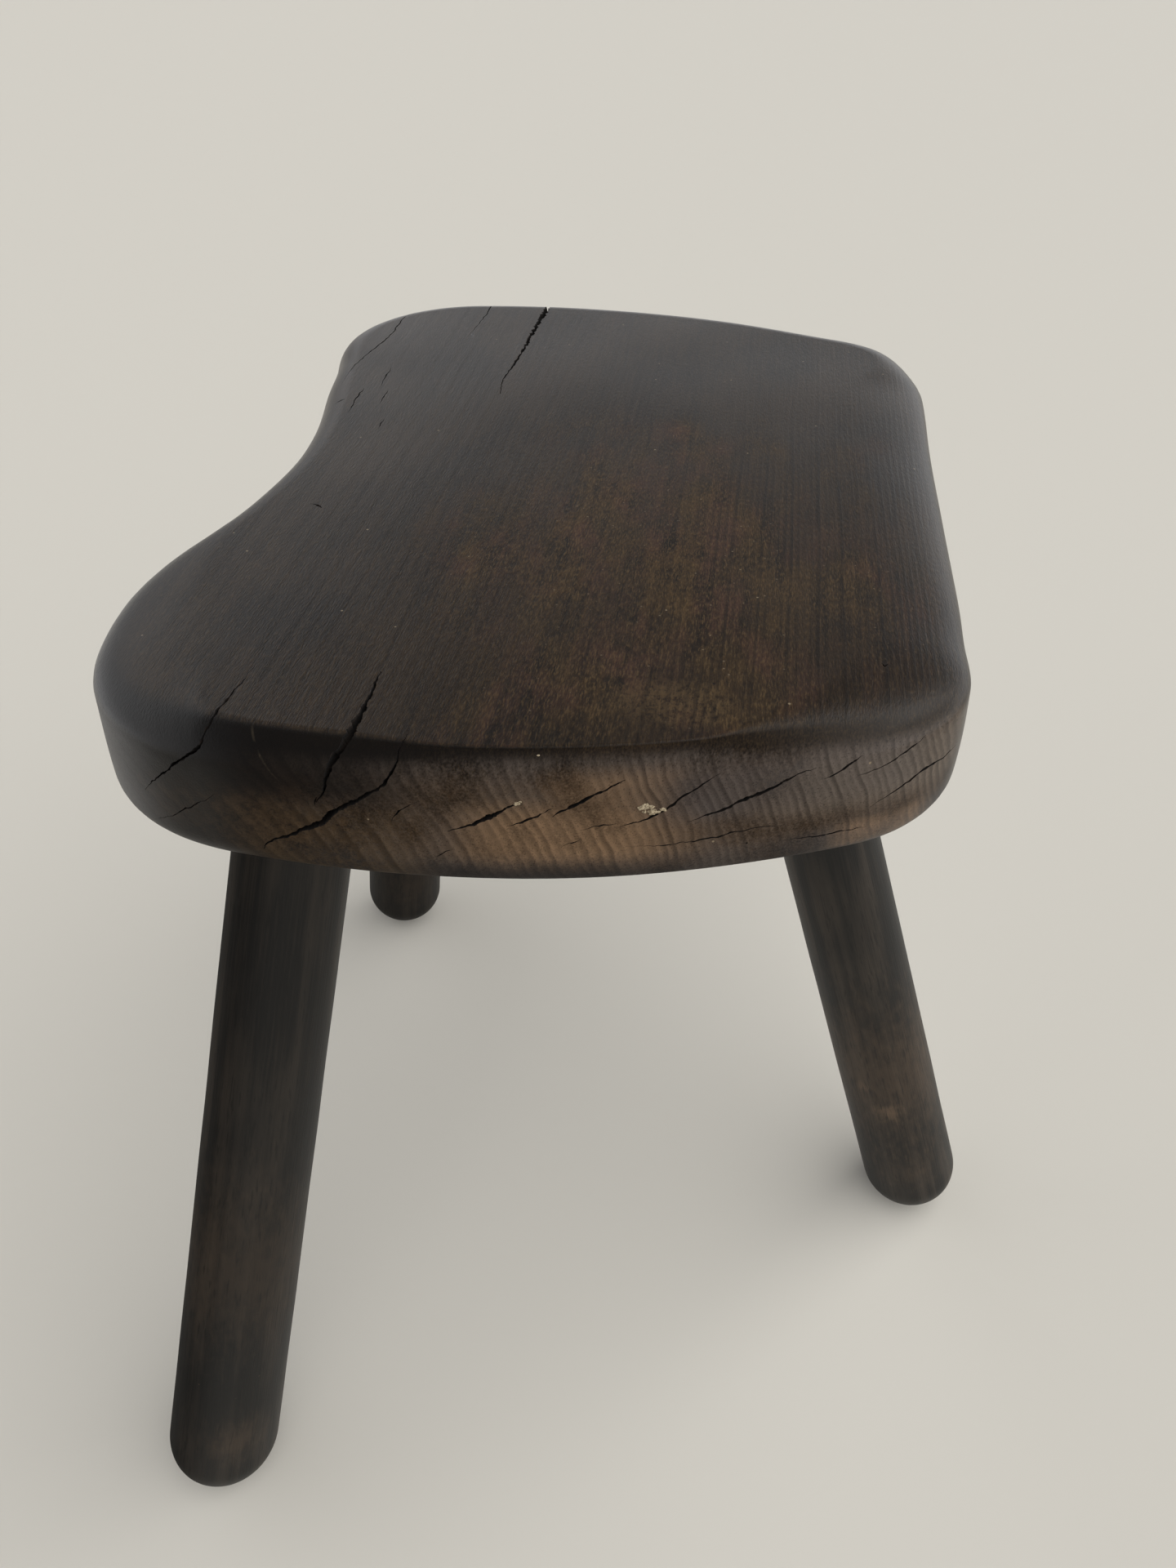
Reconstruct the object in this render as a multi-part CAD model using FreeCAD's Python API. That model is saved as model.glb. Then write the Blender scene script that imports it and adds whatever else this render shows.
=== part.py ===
import FreeCAD, Part
import math
import os
from collections import namedtuple

# Three-legged stool: a kidney-shaped slab seat on three splayed, turned legs.
# Sizes are in millimetres and angles in degrees. Z is up and the floor is Z = 0.
# The seat's grain and its long side run along Y, and its straight side faces +X.

# Seat slab
seat_top = 426.5               # floor to the seat's flat top
seat_thickness = 48.0
top_round = 12.0               # rounding of the upper edge
bottom_round = 11.0            # rounding of the lower edge

# Seat outline: a circle in each corner, joined by a straight side and three broad arcs.
# Stations are measured along the grain from the seat's mid-length.
straight_reach = 118.5         # middle line to the straight side
lobe_reach = 152.5             # middle line to the outermost point of each lobe
near_lobe_radius = 67.5
near_lobe_station = 121.0
far_lobe_radius = 65.5
far_lobe_station = 124.5
near_corner_radius = 55.5
near_corner_station = 109.0
far_corner_radius = 60.5
far_corner_station = 106.5
near_end_radius = 324.0        # bowed near end
far_end_radius = 300.0         # bowed far end
waist_radius = 335.0           # hollow between the lobes

# Where each leg's axis meets the underside: in from its side of the seat, and its station
near_leg_inset = 62.0
near_leg_station = 134.0
side_leg_inset = 55.5
side_leg_station = 32.5
far_leg_inset = 42.5
far_leg_station = 75.0

# How far each leg leans from upright, and which way its foot points in plan, from +X
near_leg_splay_angle = 16.1
near_leg_heading_angle = -133.0
side_leg_splay_angle = 17.2
side_leg_heading_angle = 9.0
far_leg_splay_angle = 16.7
far_leg_heading_angle = 125.0

# Turned leg
foot_radius = 25.0             # ball of the foot, the leg's thick end
neck_radius = 20.0             # leg's thin end, at the seat's underside
foot_wear = 0.3                # depth of the flat worn on each foot

# Blind joint between leg and seat: a round tenon spread by a hidden wedge
tenon_radius = 14.0
tenon_length = 30.0            # along the leg's axis, past the seat's underside
tenon_chamfer = 1.5
glue_gap = 0.1                 # room for glue all round the tenon
mortise_end_gap = 1.5          # room between the tenon's end and the mortise's floor
kerf_depth = 22.0              # saw cut in the tenon's end
kerf_root = 1.0                # width of the cut at its bottom
kerf_mouth = 4.0               # width of the cut once the wedge has spread it
wedge_tip_gap = 2.0            # wedge stops this far short of the cut's bottom
wedge_inset = 1.5              # wedge's ends stay this far inside the tenon's surface

seat_underside = seat_top - seat_thickness

Circle = namedtuple("Circle", "centre radius")


def crossing(first, first_distance, second, second_distance):
    """Point at the two given distances, on the left going from first to second."""
    line = second - first
    span = line.Length
    along = (span**2 + first_distance**2 - second_distance**2) / (2 * span)
    aside = math.sqrt(first_distance**2 - along**2)
    forward = line / span
    left = FreeCAD.Vector(-forward.y, forward.x, 0)
    return first + forward * along + left * aside


def toward(start, target, distance):
    """Point at a distance from start, in the direction of target."""
    step = FreeCAD.Vector(target - start)
    return start + step.normalize() * distance


def bowed_arc(start, end, radius):
    """Centre and end points of the arc that wraps round two circles, touching both."""
    centre = crossing(start.centre, radius - start.radius, end.centre, radius - end.radius)
    ends = [toward(centre, circle.centre, radius) for circle in (start, end)]
    return Circle(centre, radius), ends


def hollow_arc(start, end, radius):
    """Centre and end points of the arc that lies outside two circles, touching both."""
    centre = crossing(end.centre, radius + end.radius, start.centre, radius + start.radius)
    ends = [toward(centre, circle.centre, radius) for circle in (start, end)]
    return Circle(centre, radius), ends


def short_arc(circle, start, end):
    """Edge along a circle from start to end, the shorter way round."""
    middle = toward(circle.centre, (start + end) / 2, circle.radius)
    return Part.Arc(start, middle, end).toShape()


def seat_outline():
    """Closed outline of the seat on Z = 0, counter-clockwise from the near lobe."""
    near_lobe = Circle(
        FreeCAD.Vector(near_lobe_radius - lobe_reach, -near_lobe_station, 0), near_lobe_radius)
    far_lobe = Circle(
        FreeCAD.Vector(far_lobe_radius - lobe_reach, far_lobe_station, 0), far_lobe_radius)
    near_corner = Circle(
        FreeCAD.Vector(straight_reach - near_corner_radius, -near_corner_station, 0), near_corner_radius)
    far_corner = Circle(
        FreeCAD.Vector(straight_reach - far_corner_radius, far_corner_station, 0), far_corner_radius)
    side_start = near_corner.centre + FreeCAD.Vector(near_corner_radius, 0, 0)
    side_end = far_corner.centre + FreeCAD.Vector(far_corner_radius, 0, 0)
    near_end, near_points = bowed_arc(near_lobe, near_corner, near_end_radius)
    far_end, far_points = bowed_arc(far_corner, far_lobe, far_end_radius)
    waist, waist_points = hollow_arc(far_lobe, near_lobe, waist_radius)
    return Part.Wire([
        short_arc(near_lobe, waist_points[1], near_points[0]),
        short_arc(near_end, *near_points),
        short_arc(near_corner, near_points[1], side_start),
        Part.makeLine(side_start, side_end),
        short_arc(far_corner, side_end, far_points[0]),
        short_arc(far_end, *far_points),
        short_arc(far_lobe, far_points[1], waist_points[0]),
        short_arc(waist, *waist_points),
    ])


def rim_edges(slab, height):
    """Edges of the slab's rim that lie wholly at one height."""
    flat = 0.001
    return [edge for edge in slab.Edges
            if abs(edge.BoundBox.ZMin - height) < flat and abs(edge.BoundBox.ZMax - height) < flat]


def make_seat(leg_placements):
    outline = seat_outline()
    outline.translate(FreeCAD.Vector(0, 0, seat_underside))
    slab = Part.Face(outline).extrude(FreeCAD.Vector(0, 0, seat_thickness))
    slab = slab.makeFillet(top_round, rim_edges(slab, seat_top))
    slab = slab.makeFillet(bottom_round, rim_edges(slab, seat_underside))
    for placement in leg_placements:
        slab = slab.cut(make_mortise(placement))
    return slab


def leg_placement(socket_x, socket_y, splay, heading):
    """Leg's own frame: Z up along its axis, X across the grain, origin where it meets the underside."""
    lean = math.radians(splay)
    turn = math.radians(heading)
    upward = FreeCAD.Vector(
        -math.sin(lean) * math.cos(turn), -math.sin(lean) * math.sin(turn), math.cos(lean))
    across = FreeCAD.Vector(0, 1, 0).cross(upward)
    rotation = FreeCAD.Rotation(across, FreeCAD.Vector(0, 1, 0), upward, "ZXY")
    return FreeCAD.Placement(FreeCAD.Vector(socket_x, socket_y, seat_underside), rotation)


def slab_of_space(low, high):
    """Block far wider than the stool between two heights."""
    width = 4 * (seat_top + lobe_reach + straight_reach)
    corner = FreeCAD.Vector(-width / 2, -width / 2, low)
    return Part.makeBox(width, width, high - low, corner)


def make_leg(placement):
    upward = placement.Rotation.multVec(FreeCAD.Vector(0, 0, 1))
    ball_height = foot_radius - foot_wear
    ball_depth = (seat_underside - ball_height) / upward.z
    taper = math.asin((foot_radius - neck_radius) / ball_depth)
    # The profile runs on past the underside, far enough for a shoulder cut level with the seat.
    run_on = 2 * neck_radius
    shank_top = FreeCAD.Vector(neck_radius - run_on * math.tan(taper), 0, run_on)
    ball_centre = FreeCAD.Vector(0, 0, -ball_depth)
    ball_edge = ball_centre + FreeCAD.Vector(math.cos(taper), 0, math.sin(taper)) * foot_radius
    ball_low = ball_centre - FreeCAD.Vector(0, 0, foot_radius)
    ball_side = toward(ball_centre, (ball_edge + ball_low) / 2, foot_radius)
    axis_top = FreeCAD.Vector(0, 0, run_on)
    profile = Part.Wire([
        Part.Arc(ball_low, ball_side, ball_edge).toShape(),
        Part.makeLine(ball_edge, shank_top),
        Part.makeLine(shank_top, axis_top),
        Part.makeLine(axis_top, ball_low),
    ])
    shank = Part.Face(profile).revolve(FreeCAD.Vector(0, 0, 0), FreeCAD.Vector(0, 0, 1), 360)
    shank.Placement = placement
    shank = shank.common(slab_of_space(0, seat_underside))
    leg = shank.fuse(make_tenon(placement)).removeSplitter()
    return leg.Solids[0]


def make_tenon(placement):
    """Round tenon with a chamfered, kerfed end, rooted inside the leg's shank."""
    root = 2 * tenon_radius
    tenon = Part.makeCylinder(tenon_radius, root + tenon_length, FreeCAD.Vector(0, 0, -root))
    end_edges = [edge for edge in tenon.Edges if edge.BoundBox.ZMin > tenon_length - tenon_chamfer]
    tenon = tenon.makeChamfer(tenon_chamfer, end_edges)
    tenon = tenon.cut(wedge_shape(0, 2 * tenon_radius, 0))
    tenon.Placement = placement
    return tenon


def wedge_shape(tip_gap, width, proud):
    """Wedge on the tenon's axis: thin end down in the cut, faces along the cut's own slopes."""
    slope = (kerf_mouth - kerf_root) / (2 * kerf_depth)
    low = tenon_length - kerf_depth + tip_gap
    high = tenon_length + proud
    low_half = kerf_root / 2 + slope * tip_gap
    high_half = kerf_mouth / 2 + slope * proud
    corners = [(-low_half, low), (low_half, low), (high_half, high), (-high_half, high)]
    points = [FreeCAD.Vector(-width / 2, across, height) for across, height in corners]
    face = Part.Face(Part.makePolygon(points + points[:1]))
    return face.extrude(FreeCAD.Vector(width, 0, 0))


def make_wedge(placement):
    wedge = wedge_shape(wedge_tip_gap, 2 * (tenon_radius - wedge_inset), mortise_end_gap)
    wedge.Placement = placement
    return wedge


def make_mortise(placement):
    start = -2 * tenon_radius
    depth = tenon_length + mortise_end_gap
    mortise = Part.makeCylinder(tenon_radius + glue_gap, depth - start, FreeCAD.Vector(0, 0, start))
    mortise.Placement = placement
    return mortise


placements = {
    "near": leg_placement(
        near_leg_inset - lobe_reach, -near_leg_station, near_leg_splay_angle, near_leg_heading_angle),
    "side": leg_placement(
        straight_reach - side_leg_inset, -side_leg_station, side_leg_splay_angle, side_leg_heading_angle),
    "far": leg_placement(
        far_leg_inset - lobe_reach, far_leg_station, far_leg_splay_angle, far_leg_heading_angle),
}

pieces = {"seat": make_seat(placements.values())}
for place, placement in placements.items():
    pieces[place + "_leg"] = make_leg(placement)
    pieces[place + "_leg_wedge"] = make_wedge(placement)

# The origin is on the floor, under the middle of the whole stool.
box = Part.makeCompound(list(pieces.values())).optimalBoundingBox(False, False)
to_middle = FreeCAD.Vector(-box.Center.x, -box.Center.y, 0)

os.makedirs("parts", exist_ok=True)
for name, piece in pieces.items():
    piece.translate(to_middle)
    piece.exportStep(os.path.join("parts", name + ".step"))
    print(name, "solids", len(piece.Solids), "volume", round(piece.Volume, 1), "valid", piece.isValid())
print("stool", [round(length, 1) for length in (box.XLength, box.YLength, box.ZLength)])
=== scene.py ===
import bmesh
import bpy
import math
from mathutils import Matrix, Vector, noise
from mathutils.bvhtree import BVHTree


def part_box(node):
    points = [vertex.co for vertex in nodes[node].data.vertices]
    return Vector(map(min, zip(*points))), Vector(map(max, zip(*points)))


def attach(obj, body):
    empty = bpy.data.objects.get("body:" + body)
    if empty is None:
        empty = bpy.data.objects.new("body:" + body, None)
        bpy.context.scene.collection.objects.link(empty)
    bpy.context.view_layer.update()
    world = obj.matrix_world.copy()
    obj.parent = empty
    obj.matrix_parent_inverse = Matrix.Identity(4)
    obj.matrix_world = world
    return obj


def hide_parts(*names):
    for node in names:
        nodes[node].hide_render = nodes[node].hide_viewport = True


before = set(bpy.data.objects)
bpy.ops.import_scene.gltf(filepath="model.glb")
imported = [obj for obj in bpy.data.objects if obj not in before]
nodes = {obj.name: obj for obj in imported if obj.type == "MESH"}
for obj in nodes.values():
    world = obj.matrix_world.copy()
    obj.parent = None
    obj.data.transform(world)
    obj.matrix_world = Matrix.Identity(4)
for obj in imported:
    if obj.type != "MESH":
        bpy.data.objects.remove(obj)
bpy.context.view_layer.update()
mm = 0.001
scene = bpy.context.scene


# Colours are written as screen values from 0 to 255
def tint(red, green, blue):
    def linear(value):
        value = value / 255
        return value / 12.92 if value <= 0.04045 else ((value + 0.055) / 1.055) ** 2.4
    return (linear(red), linear(green), linear(blue), 1.0)


# A node socket that can stand in sums; node() adds any other kind of node
class Wire:
    def __init__(self, tree, socket=None):
        self.tree = tree
        self.socket = socket

    def node(self, kind, settings, sockets, output=0):
        made = self.tree.nodes.new(kind)
        for name, value in settings.items():
            setattr(made, name, value)
        for name, value in sockets.items():
            if isinstance(value, Wire):
                self.tree.links.new(value.socket, made.inputs[name])
            else:
                made.inputs[name].default_value = value
        return Wire(self.tree, made.outputs[output] if len(made.outputs) else None)

    def math(self, operation, first, second):
        return self.node("ShaderNodeMath", {"operation": operation}, {0: first, 1: second})

    def __add__(self, other):
        return self.math("ADD", self, other)

    def __radd__(self, other):
        return self.math("ADD", other, self)

    def __sub__(self, other):
        return self.math("SUBTRACT", self, other)

    def __rsub__(self, other):
        return self.math("SUBTRACT", other, self)

    def __mul__(self, other):
        return self.math("MULTIPLY", self, other)

    def __rmul__(self, other):
        return self.math("MULTIPLY", other, self)

    def __truediv__(self, other):
        return self.math("DIVIDE", self, other)

    def __rtruediv__(self, other):
        return self.math("DIVIDE", other, self)

    def __pow__(self, other):
        return self.math("POWER", self, other)

    def __abs__(self):
        return self.math("ABSOLUTE", self, 0.0)


# Camera where the photograph was taken, in metres and degrees, with the focal length in its pixels
photo = dict(
    width=1440,
    height=1920,
    focal=1451.1,
    place=(0.0456, -0.4053, 0.6184),
    turn=8.13,
    down=39.22,
    roll=-0.07,
    sensor=36.0,            # millimetres along the photograph's height
    nearest=0.01,           # nothing closer than this is drawn
)


def makeCamera():
    data = bpy.data.cameras.new("photoCamera")
    data.sensor_width = photo["sensor"]
    data.lens = photo["focal"] / photo["height"] * photo["sensor"]
    data.clip_start = photo["nearest"]
    camera = bpy.data.objects.new("photoCamera", data)
    scene.collection.objects.link(camera)
    upright = Matrix.Rotation(math.radians(photo["turn"]), 4, "Z")
    tilt = Matrix.Rotation(math.radians(90 - photo["down"]), 4, "X")
    roll = Matrix.Rotation(math.radians(photo["roll"]), 4, "Z")
    camera.matrix_world = Matrix.Translation(photo["place"]) @ upright @ tilt @ roll
    scene.camera = camera
    return camera.matrix_world.copy()


cameraPose = makeCamera()
print("camera set")


# Place and normal where the line of sight through a photo point meets a surface
def seenAt(surface, pixel):
    across = (pixel[0] - photo["width"] / 2) / photo["focal"]
    down = (pixel[1] - photo["height"] / 2) / photo["focal"]
    sight = (cameraPose.to_3x3() @ Vector((across, -down, -1))).normalized()
    return surface.ray_cast(Vector(photo["place"]), sight)[:2]


def newPiece(name, bm, materials):
    mesh = bpy.data.meshes.new(name)
    bm.to_mesh(mesh)
    bm.free()
    piece = bpy.data.objects.new(name, mesh)
    scene.collection.objects.link(piece)
    for material in materials:
        mesh.materials.append(material)
    return piece


# Cuts a tool, or every tool of a collection, out of a piece
def cutAway(piece, tool):
    cut = piece.modifiers.new("cut", "BOOLEAN")
    cut.operation = "DIFFERENCE"
    cut.solver = "EXACT"
    if isinstance(tool, bpy.types.Collection):
        cut.operand_type = "COLLECTION"
        cut.collection = tool
    else:
        cut.object = tool
    bpy.context.view_layer.update()
    graph = bpy.context.evaluated_depsgraph_get()
    mesh = bpy.data.meshes.new_from_object(piece.evaluated_get(graph))
    old = piece.data
    piece.modifiers.clear()
    piece.data = mesh
    bpy.data.meshes.remove(old)


def surfaceOf(piece):
    bpy.context.view_layer.update()
    return BVHTree.FromObject(piece, bpy.context.evaluated_depsgraph_get())


def shadeSmooth(piece, angle):
    piece.data.polygons.foreach_set("use_smooth", [True] * len(piece.data.polygons))
    piece.data.set_sharp_from_angle(angle=math.radians(angle))


# Rings of points, each joined to the next by faces, with both ends closed at a point
def joinRings(bm, rings, first, last):
    loops = [[bm.verts.new(point) for point in ring] for ring in rings]
    count = len(loops[0])
    for upper, lower in zip(loops, loops[1:]):
        for i in range(count):
            j = (i + 1) % count
            bm.faces.new((upper[i], lower[i], lower[j], upper[j]))
    for point, loop, flip in ((first, loops[0], False), (last, loops[-1], True)):
        tip = bm.verts.new(point)
        for i in range(count):
            j = (i + 1) % count
            corners = (loop[i], loop[j], tip)
            bm.faces.new(corners[::-1] if flip else corners)
    bmesh.ops.recalc_face_normals(bm, faces=bm.faces[:])


# 0 at low, 1 at high, eased between; low may be the greater
def easeStep(value, low, high):
    share = min(1.0, max(0.0, (value - low) / (high - low)))
    return share * share * (3 - 2 * share)


# Sum of noises, each with its wavelength and height
def waves(place, parts):
    return sum(height * noise.noise(place / length) for length, height in parts)


seatWood = bpy.data.materials.new("seatWood")
crackWood = bpy.data.materials.new("crackWood")
wedgeWood = bpy.data.materials.new("wedgeWood")
fillerPaint = bpy.data.materials.new("fillerPaint")


# Seat slab; its outline and heights come from the frame
seatShape = dict(
    around=640,
    smoothing=6,            # passes that take the facets out of the outline
    weld=0.01 * mm,
    topRings=16,
    underRings=8,
    roundRings=10,
    wallRings=10,
    topRound=12 * mm,
    wornAcross=20 * mm,     # where hands and knees have rubbed, the rounding is wider
    wornDown=3.4 * mm,      # and shallower than it was
    sideWornX=(40 * mm, 110 * mm),      # wear comes in from the first limit to the second
    sideWornY=(170 * mm, 110 * mm),
    lobeWornX=(-85 * mm, -135 * mm),
    lobeWornY=(-40 * mm, -110 * mm),
    besideLobe=-75 * mm,
    besideWornX=(55 * mm, 12 * mm),     # on either side of that place
    besideWornY=(-90 * mm, -130 * mm),
    besideShare=0.25,
    bottomRound=11 * mm,
    breakAngle=20,          # slope at which the near end's crisp edge leaves the top, in degrees
    breakFrom=-128 * mm,    # and how far along X it runs before it softens
    breakTo=80 * mm,
    breakFade=45 * mm,
    edgeRings=(8 * mm, 4 * mm, 2 * mm, 0.8 * mm),
    sway=0.5 * mm,          # hand-worked unevenness
    swayLength=62 * mm,
    flatNormal=0.9,         # faces that lie flatter than this sway up and down only
    mortiseRound=14.1 * mm,
    mortiseDepth=31.5 * mm,
    mortiseSides=64,
    chipFaces=60,           # a loose piece of the cut mesh with fewer faces is dropped
    crispAngle=32,          # sharper edges than this stay crisp, in degrees
)
seatLow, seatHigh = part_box("seat")

# Where hand work left the slab fuller or leaner than its plain outline, in millimetres
seatTrims = [
    dict(at=(-128, -152, 392), push=2.0, reach=30),
    dict(at=(112, -112, 400), push=1.8, reach=30),
    dict(at=(119, -86, 424), push=-1.2, reach=18),
    dict(at=(-150, -112, 420), push=-2.0, reach=25),
    dict(at=(-138, -70, 420), push=4.0, reach=23),
    dict(at=(-124, 12, 420), push=-1.0, reach=25),
    dict(at=(-135, 90, 420), push=2.5, reach=33),
    dict(at=(-146, 125, 420), push=-1.6, reach=25),
    dict(at=(118, 120, 420), push=1.4, reach=40),
    dict(at=(104, 172, 420), push=4.4, reach=24),
]


# How far the trims push the outline out at a point
def trimPush(point):
    total = 0.0
    for trim in seatTrims:
        gap = (point - Vector(trim["at"]) * mm).length / (trim["reach"] * mm)
        total += trim["push"] * mm * math.exp(-gap * gap)
    return total


# Outline of the seat's wall at mid-height, counter-clockwise from above
def seatOutline():
    bm = bmesh.new()
    bm.from_mesh(nodes["seat"].data)
    bmesh.ops.remove_doubles(bm, verts=bm.verts[:], dist=seatShape["weld"])
    middle = (seatLow.z + seatHigh.z) / 2
    everything = bm.verts[:] + bm.edges[:] + bm.faces[:]
    cut = bmesh.ops.bisect_plane(bm, geom=everything, plane_co=(0, 0, middle), plane_no=(0, 0, 1))
    edges = [part for part in cut["geom_cut"] if isinstance(part, bmesh.types.BMEdge)]
    nextTo = {}
    for edge in edges:
        for vert in edge.verts:
            nextTo.setdefault(vert, []).append(edge.other_vert(vert))
    start = min(nextTo, key=lambda vert: vert.co.x)
    loop = [start]
    seen = {start}
    while True:
        step = [vert for vert in nextTo[loop[-1]] if vert not in seen]
        if not step:
            break
        loop.append(step[0])
        seen.add(step[0])
    points = [Vector((vert.co.x, vert.co.y)) for vert in loop]
    bm.free()
    area = sum(a.x * b.y - b.x * a.y for a, b in zip(points, points[1:] + points[:1]))
    return points if area > 0 else points[::-1]


# Closed line spaced out into equal steps, and smoothed
def evenly(points, count):
    closed = points + points[:1]
    lengths = [(b - a).length for a, b in zip(closed, closed[1:])]
    step = sum(lengths) / count
    spaced = []
    travelled = 0.0
    segment = 0
    for i in range(count):
        while segment < len(lengths) - 1 and travelled + lengths[segment] < i * step:
            travelled += lengths[segment]
            segment += 1
        share = (i * step - travelled) / lengths[segment]
        spaced.append(closed[segment].lerp(closed[segment + 1], share))
    for _ in range(seatShape["smoothing"]):
        spaced = [(spaced[i - 1] + 2 * spaced[i] + spaced[(i + 1) % count]) / 4 for i in range(count)]
    return spaced


# Slope at which the rounded edge leaves the flat top, in radians
def breakSlope(point):
    fade = seatShape["breakFade"]
    along = easeStep(point.x, seatShape["breakFrom"], seatShape["breakFrom"] + fade)
    along *= 1 - easeStep(point.x, seatShape["breakTo"] - fade, seatShape["breakTo"])
    near = 1 - easeStep(point.y, seatLow.y + fade, seatLow.y + 2 * fade)
    return math.radians(seatShape["breakAngle"]) * along * near


# Share of the wear on the upper edge: along the straight side, round the near lobe and beside it
def edgeWear(point):
    side = easeStep(point.x, *seatShape["sideWornX"]) * easeStep(point.y, *seatShape["sideWornY"])
    lobe = easeStep(point.x, *seatShape["lobeWornX"]) * easeStep(point.y, *seatShape["lobeWornY"])
    beside = easeStep(abs(point.x - seatShape["besideLobe"]), *seatShape["besideWornX"])
    beside *= seatShape["besideShare"] * easeStep(point.y, *seatShape["besideWornY"])
    return max(side, lobe, beside)


def buildSlab():
    outline = evenly(seatOutline(), seatShape["around"])
    count = len(outline)
    outward = []
    for i in range(count):
        along = outline[(i + 1) % count] - outline[i - 1]
        outward.append(Vector((along.y, -along.x)).normalized())
    slopes = [breakSlope(point) for point in outline]
    worn = [edgeWear(point) for point in outline]
    rounds = [(seatShape["topRound"] + seatShape["wornAcross"] * share,
               seatShape["topRound"] - seatShape["wornDown"] * share) for share in worn]
    middle = sum(outline, Vector((0, 0))) / count
    bottomRound = seatShape["bottomRound"]

    def topRim(share, inset=0.0, reach=1.0):
        points = []
        for point, normal, slope, (across, down) in zip(outline, outward, slopes, rounds):
            turn = slope + (math.pi / 2 - slope) * share
            flat = point - normal * (inset + across * (1 - math.sin(turn)))
            flat = middle + (flat - middle) * reach
            height = seatHigh.z - down * (math.cos(slope) - math.cos(turn))
            points.append(Vector((flat.x, flat.y, height)))
        return points

    def wall(share):
        points = []
        for point, slope, (_, down) in zip(outline, slopes, rounds):
            top = seatHigh.z - down * math.cos(slope)
            points.append(Vector((point.x, point.y, top + (seatLow.z + bottomRound - top) * share)))
        return points

    def bottomRim(share, reach=1.0):
        points = []
        turn = math.pi / 2 * share
        for point, normal in zip(outline, outward):
            flat = point - normal * bottomRound * (1 - math.cos(turn))
            flat = middle + (flat - middle) * reach
            points.append(Vector((flat.x, flat.y, seatLow.z + bottomRound * (1 - math.sin(turn)))))
        return points

    inner, *edgeRings = seatShape["edgeRings"]
    topRings, underRings = seatShape["topRings"], seatShape["underRings"]
    roundRings, wallRings = seatShape["roundRings"], seatShape["wallRings"]
    rings = [topRim(0, inner, k / topRings) for k in range(1, topRings + 1)]
    rings += [topRim(0, inset) for inset in edgeRings]
    rings += [topRim(k / roundRings) for k in range(roundRings + 1)]
    rings += [wall(k / wallRings) for k in range(1, wallRings)]
    rings += [bottomRim(k / roundRings) for k in range(roundRings + 1)]
    rings += [bottomRim(1, k / underRings) for k in range(underRings - 1, 0, -1)]
    for ring in rings:
        for point, normal in zip(ring, outward):
            point += normal.to_3d() * trimPush(point)
    bm = bmesh.new()
    joinRings(bm, rings, (middle.x, middle.y, seatHigh.z), (middle.x, middle.y, seatLow.z))
    # Hand-worked faces: never above the flat top or below the underside
    bm.normal_update()
    for vert in bm.verts:
        wave = 0.5 + 0.5 * noise.noise(vert.co / seatShape["swayLength"])
        if abs(vert.normal.z) > seatShape["flatNormal"]:
            vert.co.z -= math.copysign(seatShape["sway"], vert.normal.z) * wave
        else:
            vert.co -= vert.normal * seatShape["sway"] * wave
    return newPiece("stoolSeat", bm, [seatWood, crackWood])


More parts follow.
